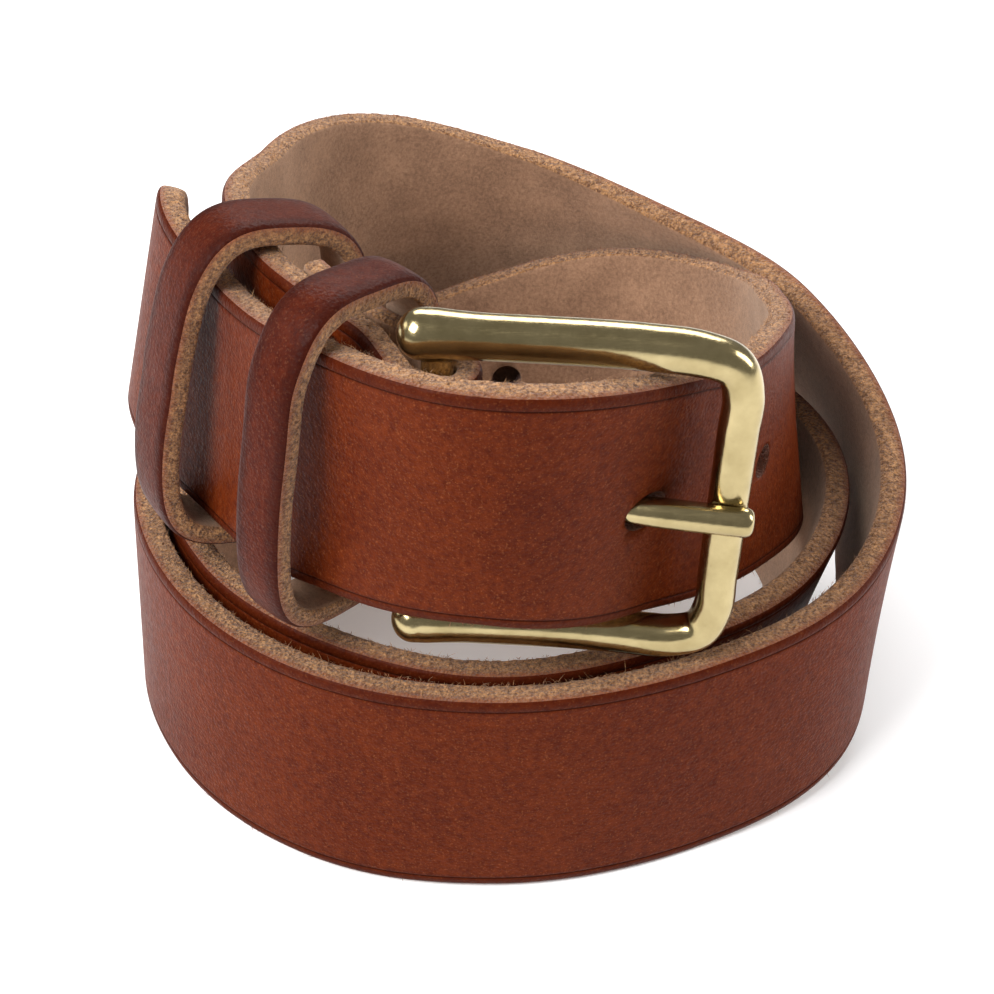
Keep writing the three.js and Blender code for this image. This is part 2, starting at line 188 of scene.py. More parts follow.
# ---- meshes ----
def new_object(name, points, faces, materials=(), face_material=None, uv=None):
    """A smooth-shaded mesh from points in millimetres. uv holds named pairs of values, one pair a point."""
    mesh = bpy.data.meshes.new(name)
    mesh.from_pydata((np.asarray(points) * MM).tolist(), [], [list(map(int, f)) for f in faces])
    for material in materials:
        mesh.materials.append(material)
    if face_material is not None:
        mesh.polygons.foreach_set("material_index", np.asarray(face_material, np.int32))
    if uv:
        corner = np.zeros(len(mesh.loops), np.int32)
        mesh.loops.foreach_get("vertex_index", corner)
        for layer, values in uv.items():
            at_corners = np.asarray(values, np.float32)[corner]
            mesh.uv_layers.new(name=layer).data.foreach_set("uv", at_corners.ravel())
    mesh.polygons.foreach_set("use_smooth", [True] * len(mesh.polygons))
    mesh.update()
    body = bpy.data.objects.new(name, mesh)
    bpy.context.scene.collection.objects.link(body)
    return body


def grid_faces(rows, columns, closed_rows=False):
    """Quads over rows of points whose columns close on themselves."""
    last = rows if closed_rows else rows - 1
    r, c = np.meshgrid(np.arange(last), np.arange(columns), indexing="ij")
    nr, nc = (r + 1) % rows, (c + 1) % columns
    quads = np.stack([r * columns + c, r * columns + nc, nr * columns + nc, nr * columns + c], -1)
    return quads.reshape(-1, 4)


def capped(faces, rows, columns):
    return [*faces.tolist(), list(range(columns))[::-1], list(range((rows - 1) * columns, rows * columns))]


def frames_along(points, side):
    """Two directions square to a path, the first as near to `side` as it can be."""
    tangent = unit(np.gradient(points, axis=0))
    side = np.broadcast_to(side, points.shape)
    first = unit(side - tangent * (side * tangent).sum(-1, keepdims=True))
    return first, np.cross(tangent, first)


def tube(points, radius, side, sides=24, squareness=2.0, lobes=None):
    """Points and faces of a tube. squareness over 2 flattens its sides; lobes twists plies along it."""
    points = np.asarray(points, float)
    first, second = frames_along(points, side)
    radius = np.broadcast_to(np.asarray(radius, float), (len(points),))
    angle = np.linspace(0, 2 * np.pi, sides, endpoint=False)
    c, s = np.cos(angle), np.sin(angle)
    size = (np.abs(c)**squareness + np.abs(s)**squareness)**(-1 / squareness)
    ring = radius[:, None] * size[None]
    if lobes:
        plies, lay = lobes
        travelled = np.concatenate([[0], np.cumsum(np.linalg.norm(np.diff(points, axis=0), axis=1))])
        twist = angle[None] - 2 * np.pi * travelled[:, None] / lay
        ring = ring * (0.84 + 0.16 * np.abs(np.cos(plies * twist / 2)))
    spokes = c[None, :, None] * first[:, None] + s[None, :, None] * second[:, None]
    shell = points[:, None] + ring[..., None] * spokes
    faces = capped(grid_faces(len(points), sides), len(points), sides)
    return shell.reshape(-1, 3), faces


def rounded_path(corners, radius, steps=8):
    """A path through corners, each turned with an arc-like curve."""
    corners = [np.asarray(c, float) for c in corners]
    path = [corners[0]]
    for before, here, after in zip(corners, corners[1:], corners[2:]):
        reach = min(radius, np.linalg.norm(here - before) / 2.05, np.linalg.norm(after - here) / 2.05)
        start, end = here + reach * unit(before - here), here + reach * unit(after - here)
        for t in np.linspace(0, 1, steps):
            path.append((1 - t)**2 * start + 2 * t * (1 - t) * here + t**2 * end)
    return np.array([*path, corners[-1]])


def join(pieces):
    """One point and face list from several."""
    points, faces, base = [], [], 0
    for shape_points, shape_faces in pieces:
        points.append(shape_points)
        faces.extend([[int(i) + base for i in face] for face in shape_faces])
        base += len(shape_points)
    return np.concatenate(points), faces


def apply_modifiers(body):
    graph = bpy.context.evaluated_depsgraph_get()
    finished = body.evaluated_get(graph)
    mesh = bpy.data.meshes.new_from_object(finished, preserve_all_data_layers=True, depsgraph=graph)
    body.modifiers.clear()
    body.data = mesh
    return body


def cut(body, cutter):
    modifier = body.modifiers.new("cut", "BOOLEAN")
    modifier.operation = "DIFFERENCE"
    modifier.solver = "EXACT"
    modifier.material_mode = "TRANSFER"
    modifier.object = cutter
    bpy.context.view_layer.update()
    apply_modifiers(body)
    bpy.data.objects.remove(cutter)
    return body


def cast(body, voxel, passes):
    """Fuses a body's overlapping solids into one skin, softened where they meet as a casting is."""
    remesh = body.modifiers.new("fuse", "REMESH")
    remesh.mode = "VOXEL"
    remesh.voxel_size = voxel * MM
    remesh.use_smooth_shade = True
    soften = body.modifiers.new("soften", "SMOOTH")
    soften.factor = 0.5
    soften.iterations = passes
    return apply_modifiers(body)


# ---- materials ----
class Nodes:
    """A short way to write a material's nodes."""

    def __init__(self, name):
        self.material = bpy.data.materials.new(name)
        self.material.use_nodes = True
        self.tree = self.material.node_tree
        self.tree.nodes.clear()
        output = self.tree.nodes.new("ShaderNodeOutputMaterial")
        self.shader = self.tree.nodes.new("ShaderNodeBsdfPrincipled")
        self.tree.links.new(self.shader.outputs[0], output.inputs["Surface"])

    def node(self, kind, inputs=None, **settings):
        made = self.tree.nodes.new(kind)
        for key, value in settings.items():
            setattr(made, key, value)
        for key, value in (inputs or {}).items():
            if isinstance(value, bpy.types.NodeSocket):
                self.tree.links.new(value, made.inputs[key])
            else:
                made.inputs[key].default_value = value
        return made

    def place(self, scale=(1, 1, 1)):
        """Object coordinates in millimetres, stretched."""
        source = self.node("ShaderNodeTexCoord").outputs["Object"]
        in_mm = tuple(1000 * k for k in scale)
        return self.node("ShaderNodeMapping", {"Vector": source, "Scale": in_mm}).outputs[0]

    def layer(self, name):
        """The two values of a named layer of the mesh."""
        source = self.node("ShaderNodeUVMap", uv_map=name).outputs[0]
        split = self.node("ShaderNodeSeparateXYZ", {"Vector": source})
        return split.outputs["X"], split.outputs["Y"]

    def noise(self, scale, detail=4.0, rough=0.55, vector=None):
        vector = vector or self.place()
        inputs = {"Vector": vector, "Scale": scale, "Detail": detail, "Roughness": rough}
        return self.node("ShaderNodeTexNoise", inputs).outputs["Fac"]

    def cells(self, scale):
        """Distance from the nearest cell's middle."""
        inputs = {"Vector": self.place(), "Scale": scale}
        return self.node("ShaderNodeTexVoronoi", inputs, feature="F1").outputs["Distance"]

    def math(self, operation, a, b=0.0, clamp=False):
        return self.node("ShaderNodeMath", {0: a, 1: b}, operation=operation, use_clamp=clamp).outputs[0]

    def fit(self, value, low, high, to_low=0.0, to_high=1.0):
        made = self.node("ShaderNodeMapRange", {
            "Value": value, "From Min": low, "From Max": high, "To Min": to_low, "To Max": to_high,
        })
        return made.outputs[0]

    def mix(self, factor, a, b, blend="MIX"):
        made = self.node("ShaderNodeMix", data_type="RGBA", blend_type=blend)
        for key, value in ((0, factor), (6, a), (7, b)):
            if isinstance(value, bpy.types.NodeSocket):
                self.tree.links.new(value, made.inputs[key])
            else:
                made.inputs[key].default_value = value if key == 0 else (*value, 1)
        return made.outputs[2]

    def bump(self, height, strength, distance, normal=None):
        inputs = {"Height": height, "Strength": strength, "Distance": distance * MM}
        if normal is not None:
            inputs["Normal"] = normal
        return self.node("ShaderNodeBump", inputs).outputs[0]

    def set(self, **values):
        for key, value in values.items():
            socket = self.shader.inputs[key.replace("_", " ")]
            if isinstance(value, bpy.types.NodeSocket):
                self.tree.links.new(value, socket)
            else:
                socket.default_value = (*value, 1) if isinstance(value, tuple) else value


def grain_leather(name, deep, bright, burnt, painted_highlight, rough, crease):
    """Smooth dyed leather: a soft mottle, pores, pale specks of painted highlight, and a crease line along
    its edges.
    """
    n = Nodes(name)
    mottle = n.noise(0.06, 5, 0.6)
    grain = n.noise(0.9, 6, 0.65)
    tone = n.math("ADD", n.math("MULTIPLY", mottle, 0.3), n.math("MULTIPLY", grain, 0.7))
    colour = n.mix(n.fit(tone, 0.38, 0.62), deep, bright)
    pores = n.cells(1.6)
    colour = n.mix(n.fit(pores, 0.0, 0.28, 0.45, 0.0), colour, burnt)
    # pale specks of painted highlight, mixed into the colour where the grain would catch the light
    colour = n.mix(n.fit(n.noise(3.0, 2, 0.5), 0.58, 0.72, 0.0, 0.34), colour, painted_highlight)
    edge, _ = n.layer("edge")
    worn = n.math("ADD", edge, n.math("MULTIPLY", n.math("SUBTRACT", n.noise(0.5, 3), 0.5), 1.2))
    colour = n.mix(n.fit(worn, 1.3, 2.6, 0.5, 0.0), colour, burnt)
    groove = n.math("ABSOLUTE", n.math("SUBTRACT", edge, 1.8))
    colour = n.mix(n.fit(groove, 0.06, 0.2, crease, 0.0), colour, tuple(0.4 * k for k in burnt))
    roughness = n.fit(n.noise(0.8, 4), 0.3, 0.7, rough - 0.05, rough + 0.08)
    normal = n.bump(n.noise(0.22, 3), 0.22, 0.5)
    normal = n.bump(pores, 0.6, 0.12, normal)
    normal = n.bump(n.cells(3.6), 0.5, 0.07, normal)
    n.set(Base_Color=colour, Roughness=roughness, Normal=normal, Specular_IOR_Level=0.05)
    return n.material


def raw_edge(name, pale, dark, dyed):
    """A cut edge: packed pale fibres with dark gaps, dyed next to the grain side."""
    n = Nodes(name)
    fibres = n.noise(1.5, 7, 0.8)
    clumps = n.noise(0.9, 4, 0.6)
    colour = n.mix(n.fit(fibres, 0.42, 0.58), dark, pale)
    colour = n.mix(n.fit(clumps, 0.35, 0.65, 0.35, 0.0), colour, dark)
    _, depth = n.layer("edge")
    stained = n.math("ADD", depth, n.math("MULTIPLY", n.math("SUBTRACT", clumps, 0.5), 1.3))
    colour = n.mix(n.fit(stained, 0.5, 1.7, 0.85, 0.0), colour, dyed)
    normal = n.bump(fibres, 1.0, 0.5)
    normal = n.bump(n.cells(2.2), 0.8, 0.35, normal)
    n.set(Base_Color=colour, Roughness=0.95, Normal=normal, Sheen_Weight=0.25, Sheen_Roughness=0.6)
    n.set(Specular_IOR_Level=0.2)
    return n.material


def flesh_leather(name, pale, dark):
    """The suede back: a soft nap, brushed lighter and darker in patches."""
    n = Nodes(name)
    patches = n.noise(0.12, 4, 0.55)
    nap = n.noise(1.5, 8, 0.8)
    tone = n.math("ADD", n.math("MULTIPLY", patches, 0.3), n.math("MULTIPLY", nap, 0.7))
    colour = n.mix(n.fit(tone, 0.4, 0.6), dark, pale)
    normal = n.bump(nap, 0.8, 0.3)
    n.set(Base_Color=colour, Roughness=0.9, Normal=normal, Sheen_Weight=0.35, Sheen_Roughness=0.5)
    n.set(Sheen_Tint=(0.9, 0.75, 0.62), Specular_IOR_Level=0.25)
    return n.material


def polished_brass(name):
    """Cast brass, polished by hand: hair-fine scratches, faint dents, and a slight darkening in patches."""
    n = Nodes(name)
    bloom = n.noise(0.18, 4, 0.6)
    colour = n.mix(n.fit(bloom, 0.35, 0.65), (0.36, 0.285, 0.14), (0.47, 0.38, 0.20))
    scratches = n.noise(1.0, 3, 0.7, n.place((0.6, 5, 5)))
    crossed = n.noise(1.0, 2, 0.7, n.place((5, 5, 0.7)))
    dirt = n.cells(0.55)
    colour = n.mix(n.fit(dirt, 0.0, 0.06, 0.7, 0.0), colour, (0.10, 0.07, 0.03))
    roughness = n.fit(n.math("ADD", scratches, crossed), 0.75, 1.3, 0.13, 0.27)
    normal = n.bump(n.noise(0.3, 2), 0.07, 0.5)
    normal = n.bump(scratches, 0.10, 0.03, normal)
    normal = n.bump(crossed, 0.08, 0.02, normal)
    n.set(Base_Color=colour, Metallic=1.0, Roughness=roughness, Normal=normal)
    return n.material


def steel_wire(name):
    n = Nodes(name)
    drawn = n.noise(1.0, 3, 0.6, n.place((8, 8, 1)))
    colour = n.mix(n.fit(n.noise(0.8, 4), 0.4, 0.7), (0.46, 0.45, 0.43), (0.30, 0.27, 0.24))
    n.set(Base_Color=colour, Metallic=1.0, Roughness=n.fit(drawn, 0.3, 0.7, 0.28, 0.45))
    n.set(Normal=n.bump(drawn, 0.2, 0.03))
    return n.material


def waxed_thread(name):
    n = Nodes(name)
    colour = n.mix(n.fit(n.noise(2.5, 4), 0.4, 0.65), (0.05, 0.018, 0.01), (0.14, 0.06, 0.032))
    n.set(Base_Color=colour, Roughness=0.55, Normal=n.bump(n.noise(9, 3), 0.5, 0.05))
    return n.material


STRAP_GRAIN = grain_leather(
    "strap_grain",
    deep=(0.072, 0.0094, 0.0020),
    bright=(0.128, 0.0205, 0.0034),
    burnt=(0.036, 0.005, 0.0020),
    painted_highlight=(0.32, 0.105, 0.035),
    rough=0.43,
    # colour of the painted highlight specks on the strap's grain
    crease=0.7,
)
KEEPER_GRAIN = grain_leather(
    "keeper_grain",
    deep=(0.046, 0.0062, 0.0026),
    bright=(0.080, 0.0125, 0.0040),
    burnt=(0.018, 0.003, 0.0022),
    # colour of the painted highlight specks on the keepers' grain
    painted_highlight=(0.19, 0.07, 0.035),
    rough=0.42,
    crease=0.0,
)
RAW_EDGE = raw_edge("raw_edge", (0.70, 0.35, 0.135), (0.165, 0.062, 0.020), (0.26, 0.06, 0.013))
FLESH = flesh_leather("flesh_side", (0.43, 0.245, 0.145), (0.225, 0.12, 0.070))
HOLE_WALL = raw_edge("hole_wall", (0.46, 0.20, 0.085), (0.18, 0.065, 0.025), (0.16, 0.035, 0.011))
BRASS = polished_brass("brass")
STEEL = steel_wire("staple_wire")
THREAD = waxed_thread("thread")


# ---- the strap ----
# Half of the section, from the middle of the grain side round the edge to the middle of the flesh side:
# distance from the cut edge, and depth below the grain surface.
GRAIN_HALF = [
    (19, 0), (16, 0), (13, 0), (10, 0), (7, 0), (4.5, 0), (3, 0), (2.35, 0.0),
    (2.0, 0.01), (1.9, 0.08), (1.8, 0.14), (1.7, 0.08), (1.6, 0.01),
    (1.15, 0.02), (0.75, 0.08), (0.4, 0.22), (0.16, 0.45),
]
EDGE_HALF = [
    (0.04, 0.75), (0.0, 1.15), (-0.03, 1.6), (-0.04, 2.1),
    (-0.02, 2.6), (0.03, 3.1), (0.12, 3.55), (0.26, 3.9),
]
FLESH_HALF = [(0.5, 4.12), (0.9, 4.2), (2.5, 4.2), (5, 4.2), (8, 4.2), (11, 4.2), (15, 4.2), (19, 4.2)]


def section_columns():
    """The whole section as (side, distance from the edge, depth, zone), once round."""
    half = [(*p, 0) for p in GRAIN_HALF] + [(*p, 2) for p in EDGE_HALF] + [(*p, 1) for p in FLESH_HALF]
    upper = [(1, *p) for p in half]
    lower = [(-1, *p) for p in half[::-1][1:-1]]
    return np.array(upper + lower, float)


def tip_half(distance, start):
    """Half width of the strap's outline, moved in by a distance, at lengths from the tip."""
    reach = np.clip((TIP_LENGTH - start) / (TIP_LENGTH - distance), 0, 1)
    return (WIDTH / 2 - distance) * np.sqrt(1 - reach**2)


def flap_distance(share):
    """How far the folded end's middle lies inside the strap's, at a share of the way back."""
    touching = THICK / 2 + FLAP_GAP + FLAP_THICK / 2
    return 2 * FOLD_RADIUS + (touching - 2 * FOLD_RADIUS) * smooth_step(2 * share)


def strap_rows():
    """Every row of the strap: place, directions, thickness and distance from the tip."""
    spread = 1 - np.cos(np.linspace(0, np.pi / 2, 60))
    near_tip = TIP_LENGTH * spread
    total = length_at(FOLD_ANGLE)
    rest = np.linspace(TIP_LENGTH, total, int((total - TIP_LENGTH) / 0.6))[1:]
    length = np.concatenate([near_tip, rest])
    angle = angle_at(length)
    point, _, up, out = stations(angle)
    thin = np.clip((angle - SKIVE_ANGLE) / (FOLD_ANGLE - SKIVE_ANGLE), 0, 1)
    thick = THICK + (FOLD_THICK - THICK) * thin
    # round the heel bar
    turn = np.linspace(0, np.pi, 34)[1:-1, None]
    bend_out = fold_out * np.cos(turn) + fold_ahead * np.sin(turn)
    bend_point = HEEL + FOLD_RADIUS * bend_out
    # and back along the inside
    share = np.linspace(0, 1, 60)
    flap_point, _, flap_up, flap_out = stations(FOLD_ANGLE + (FLAP_ANGLE - FOLD_ANGLE) * share)
    flap_point = flap_point - flap_out * flap_distance(share)[:, None]
    flap_thick = FOLD_THICK + (FLAP_THICK - FOLD_THICK) * share
    points = np.concatenate([point, bend_point, flap_point])
    ups = np.concatenate([up, np.tile(fold_up, (len(turn), 1)), flap_up])
    outs = np.concatenate([out, bend_out, -flap_out])
    thicks = np.concatenate([thick, np.full(len(turn), FOLD_THICK), flap_thick])
    return points, ups, outs, thicks, length


def build_strap():
    rng = np.random.default_rng(SEED)
    points, ups, outs, thicks, length = strap_rows()
    columns = section_columns()
    side, edge, depth, zone = columns.T
    rows, count = len(points), len(columns)
    from_tip = np.full(rows, 1e3)
    from_tip[:len(length)] = length
    in_tip = from_tip < TIP_LENGTH
    edge_at = np.tile(edge, (rows, 1))
    across = (WIDTH / 2 - edge_at) * side
    depth_at = np.tile(depth, (rows, 1))
    tip_rows = np.where(in_tip)[0]
    for row in tip_rows:
        start = from_tip[row]
        half = tip_half(np.minimum(np.maximum(edge, 0), start), start)
        crowd = np.where(edge > start, 0.02 * (19 - edge) / 19, 0)
        across[row] = side * np.maximum(half + crowd - np.minimum(edge, 0) * min(1, start), 0)
        reached = np.minimum(edge, start)
        grain = zone == 0
        shallow = np.interp(reached, [p[0] for p in GRAIN_HALF[::-1]], [p[1] for p in GRAIN_HALF[::-1]])
        depth_at[row] = np.where(grain, shallow, depth)
        edge_at[row] = np.minimum(edge_at[row], start)
    # the raw edges are never quite straight
    rough = zone == 2
    waver = np.zeros((rows, count))
    for which in (1, -1):
        slow = wander(rows, 25, rng) * 0.10
        mask = side == which
        waver[:, mask] += (slow[:, None] * np.clip(1 - edge[mask] / 3, 0, 1)[None])
    pits = wander(rows, 1, rng, count).T
    waver += np.where(rough[None], pits * 0.17, 0)
    across = across + side[None] * np.where(in_tip[:, None], 0, waver)
    height = thicks[:, None] / 2 - depth_at * thicks[:, None] / THICK
    nap = wander(rows, 3, rng, count).T
    height = height + np.where((zone == 1)[None], nap * 0.03, 0)
    shell = points[:, None] + ups[:, None] * across[..., None] + outs[:, None] * height[..., None]
    shell[..., 2] = np.maximum(shell[..., 2], 0.0)
    faces = capped(grid_faces(rows, count), rows, count)
    following = np.roll(zone, -1)
    kind = np.where((zone == 2) | (following == 2), 1, np.where(zone == 1, 2, 0))
    face_material = np.concatenate([np.tile(kind, rows - 1), [1, 1]])
    edge_uv = np.stack([edge_at, depth_at], -1).reshape(-1, 2)
    strap = new_object(
        "belt_strap", shell.reshape(-1, 3), faces, (STRAP_GRAIN, RAW_EDGE, FLESH, HOLE_WALL), face_material,
        {"edge": edge_uv},
    )
    return strap


def straight_rod(start, end, radius, sides=24):
    start, end = np.asarray(start, float), np.asarray(end, float)
    side = np.array([0, 0, 1.0]) if abs(unit(end - start)[2]) < 0.9 else np.array([1.0, 0, 0])
    return tube(np.linspace(start, end, 4), radius, side, sides)


def stitch_places(angle):
    point, ahead, up, out = (v[0] for v in stations(np.array([angle])))
    share = (FOLD_ANGLE - angle) / (FOLD_ANGLE - FLAP_ANGLE)
    away = flap_distance(share)
    rest = STITCH["clear"] + STITCH["thread"]
    return point, ahead, up, out, THICK / 2 + rest, -away - FOLD_THICK / 2 - rest


def cut_strap(strap):
    """Punches the holes, the prong's slot and the stitch holes."""
    shapes = []
    lengths = length_at(HOLES["first"]) + HOLES["pitch"] * np.arange(HOLES["count"])
    for point, out in zip(*(stations(angle_at(lengths))[k] for k in (0, 3))):
        shapes.append(straight_rod(point - 4.5 * out, point + 4.5 * out, HOLES["radius"], 40))
    half = fold_up * SLOT["height"] / 2
    shapes.append(straight_rod(HEEL - half, HEEL + half, SLOT["radius"], 48))
    for angle in STITCH["angles"]:
        point, _, up, out, outer, inner = stitch_places(angle)
        for i in range(STITCH["count"]):
            base = point + up * (i - (STITCH["count"] - 1) / 2) * STITCH["pitch"]
            shapes.append(straight_rod(base + out * outer, base + out * inner, STITCH["hole"], 12))
    passage = at_buckle((12, PRONG["start_rise"] + 0.7, 0))
    for shape in (join(shapes), straight_rod(passage, PRONG_TIP, PRONG["radius"] + 0.75, 40)):
        cut(strap, new_object("cutter", *shape, (HOLE_WALL,)))
    return strap


def add_fibres(name, count, rng, reach=0.38):
    """Loose fibres standing out of the strap's two raw edges: thin bent strands."""
    lengths = rng.uniform(TIP_LENGTH, length_at(FOLD_ANGLE) - 2, count)
    point, ahead, up, out = stations(angle_at(lengths))
    side = np.sign(rng.standard_normal(count))[:, None]
    depth = rng.uniform(-0.46, 0.34, count)[:, None] * THICK
    root = point + up * side * (WIDTH / 2 - 0.12) + out * depth
    lie = ahead * rng.normal(0, 1.0, (count, 1)) + out * rng.normal(0, 0.7, (count, 1))
    rise = up * side
    size = np.abs(rng.normal(0, reach, (count, 1))) + 0.12
    middle_point = root + (rise * 0.75 + lie * 0.35) * size * 0.55
    end = root + (rise * 0.9 + lie * 0.9) * size
    wide = unit(np.cross(rise, lie) + 1e-6) * 0.05
    narrower = wide * 0.8
    points = np.stack([root - wide, root + wide, middle_point + narrower, middle_point - narrower, end], 1)
    points[..., 2] = np.maximum(points[..., 2], 0.0)
    base = np.arange(count)[:, None] * 5
    quads = (base + np.array([[0, 1, 2, 3]])).tolist()
    tips = (base + np.array([[3, 2, 4]])).tolist()
    edge_uv = np.stack([np.zeros(count * 5), np.repeat(THICK / 2 - depth[:, 0], 5)], -1)
    return new_object(name, points.reshape(-1, 3), quads + tips, (RAW_EDGE,), None, {"edge": edge_uv})


# ---- the buckle ----
def smooth_curve(corners, steps):
    """Evenly spaced points on a smooth curve through the corners."""
    p = np.asarray(corners, float)
    knots = np.concatenate([[0], np.cumsum(np.sqrt(np.linalg.norm(np.diff(p, axis=0), axis=1)))])
    gaps = np.diff(knots)[:, None]
    rates = np.diff(p, axis=0) / gaps
    inner = (rates[:-1] * gaps[1:] + rates[1:] * gaps[:-1]) / (gaps[:-1] + gaps[1:])
    slopes = np.concatenate([rates[:1], inner, rates[-1:]])
    t = np.linspace(0, knots[-1], 40 * len(p))
    i = np.clip(np.searchsorted(knots, t, side="right") - 1, 0, len(p) - 2)
    h = gaps[i]
    u = (t - knots[i])[:, None] / h
    dense = (
        (2 * u**3 - 3 * u**2 + 1) * p[i] + (u**3 - 2 * u**2 + u) * h * slopes[i]
        + (3 * u**2 - 2 * u**3) * p[i + 1] + (u**3 - u**2) * h * slopes[i + 1]
    )
    travelled = np.concatenate([[0], np.cumsum(np.linalg.norm(np.diff(dense, axis=0), axis=1))])
    at = np.linspace(0, travelled[-1], steps)
    return np.stack([np.interp(at, travelled, dense[:, k]) for k in range(3)], -1)


def blob(centre, radii, turns=32):
    """An egg shape in the buckle's own directions."""
    latitude = np.linspace(-np.pi / 2, np.pi / 2, turns // 2 + 1)[1:-1]
    longitude = np.linspace(0, 2 * np.pi, turns, endpoint=False)
    lat, lon = np.meshgrid(latitude, longitude, indexing="ij")
    ball = np.stack([np.cos(lat) * np.cos(lon), np.cos(lat) * np.sin(lon), np.sin(lat)], -1).reshape(-1, 3)
    rows = len(latitude)
    return at_buckle(np.asarray(centre, float) + ball * radii), capped(grid_faces(rows, turns), rows, turns)


def build_buckle_frame():
    half, length, rise = BUCKLE["width"] / 2, BUCKLE["length"], BUCKLE["rise"]
    upper = [
        (-BUCKLE["reach"], 0, half), (6, 0, half), (20, 0, half), (length - 13, 0.3 * rise, half),
        (length - 5.5, 0.9 * rise, half - 0.3), (length - 1.6, rise, half - 1.8), (length, rise, half - 6),
        (length, rise, half / 2),
    ]
    lower = [(a, o, -u) for a, o, u in reversed(upper)]
    path = smooth_curve(upper + lower, 220)
    on_bar = np.clip((path[:, 0] - length + 8) / 8, 0, 1)
    on_boss = np.clip(1 - path[:, 0] / 7, 0, 1)**2
    radius = BUCKLE["arm"] + (BUCKLE["bar"] - BUCKLE["arm"]) * on_bar + 0.35 * on_boss
    loop = tube(at_buckle(path), radius, BUCKLE_OUT, 36, 2.25)
    boss = BUCKLE["boss"]
    knobs = [
        blob((-BUCKLE["reach"] - 0.2, 0.1, sign * half), (boss - 0.2, boss, boss))
        for sign in (1, -1)
    ]
    bar = straight_rod(at_buckle((0, 0, -half)), at_buckle((0, 0, half)), BUCKLE["heel_bar"], 32)
    body = new_object("brass_buckle_frame", *join([loop, *knobs, bar]), (BRASS,))
    cast(body, 0.24, 5)
    reach = unit(PRONG_TIP - PRONG_START)
    seat = straight_rod(PRONG_TIP - 12 * reach, PRONG_TIP + 6 * reach, PRONG["radius"] + 0.22, 40)
    cut(body, new_object("cutter", *seat, (BRASS,)))
    soften = body.modifiers.new("soften", "SMOOTH")
    soften.factor = 0.4
    soften.iterations = 2
    apply_modifiers(body)
    return body


def build_prong():
    inner, outer, half = BUCKLE["heel_bar"] + 0.25, PRONG["ring"], PRONG["ring_height"] / 2
    turn = np.linspace(0, 2 * np.pi, 72, endpoint=False)
    profile = np.array([
        (inner, -half + 0.3), (inner + 0.3, -half), (outer - 0.9, -half), (outer - 0.25, -half + 0.35),
        (outer, -half + 1.1), (outer, half - 1.1), (outer - 0.25, half - 0.35), (outer - 0.9, half),
        (inner + 0.3, half), (inner, half - 0.3),
    ])
    ring = np.stack([
        profile[None, :, 0] * np.cos(turn)[:, None], -profile[None, :, 0] * np.sin(turn)[:, None],
        np.broadcast_to(profile[None, :, 1], (len(turn), len(profile))),
    ], -1)
    ring_faces = grid_faces(len(turn), len(profile), closed_rows=True)
    reach = unit(PRONG_TIP - PRONG_START)
    total = np.linalg.norm(PRONG_TIP - PRONG_START)
    at = np.concatenate([np.linspace(0, total, 60), total + np.array([0.5, 1.0, 1.35, 1.6, 1.75, 1.82])])
    radius = PRONG["radius"] * (0.8 + 0.2 * smooth_step((at - 18) / 10))
    radius[-6:] = PRONG["radius"] * np.array([0.99, 0.94, 0.86, 0.74, 0.58, 0.36])
    shank = tube(PRONG_START + reach * at[:, None], radius, BUCKLE_OUT, 36, 2.0)
    ring_shape = (at_buckle(ring.reshape(-1, 3)), ring_faces.tolist())
    body = new_object("brass_prong", *join([ring_shape, shank]), (BRASS,))
    return cast(body, 0.2, 5)


# ---- the keepers ----
def keeper_axes(keeper):
    a = math.radians(keeper["angle"])
    yaw, tilt, roll = (math.radians(keeper[k]) for k in ("yaw", "tilt", "roll"))
    reach = keeper["radius"]
    centre = np.array([COIL[0] + reach * math.cos(a), COIL[1] + reach * math.sin(a), keeper["height"]])
    through = np.array([math.cos(yaw) * math.cos(tilt), math.sin(yaw) * math.cos(tilt), math.sin(tilt)])
    upright = unit(np.array([0, 0, 1.0]) - through * through[2])
    outwards = np.cross(through, upright)
    up = upright * math.cos(roll) + outwards * math.sin(roll)
    return centre, through, up, np.cross(through, up)


def oval(share, half_depth, half_height):
    c, s = np.cos(2 * np.pi * share), np.sin(2 * np.pi * share)
    power = 2 / 3.4
    wide = half_depth * np.sign(c) * np.abs(c)**power
    high = half_height * np.sign(s) * np.abs(s)**power
    return np.stack([wide, high], -1)


def even_oval(half_depth, half_height, steps):
    """Points evenly spaced round the oval, from the inner run's middle back to it."""
    dense = oval(np.linspace(0.5, 1.5, 4001), half_depth, half_height)
    travelled = np.concatenate([[0], np.cumsum(np.linalg.norm(np.diff(dense, axis=0), axis=1))])
    at = np.linspace(0.12, travelled[-1] - 0.12, steps)
    return np.stack([np.interp(at, travelled, dense[:, k]) for k in range(2)], -1)


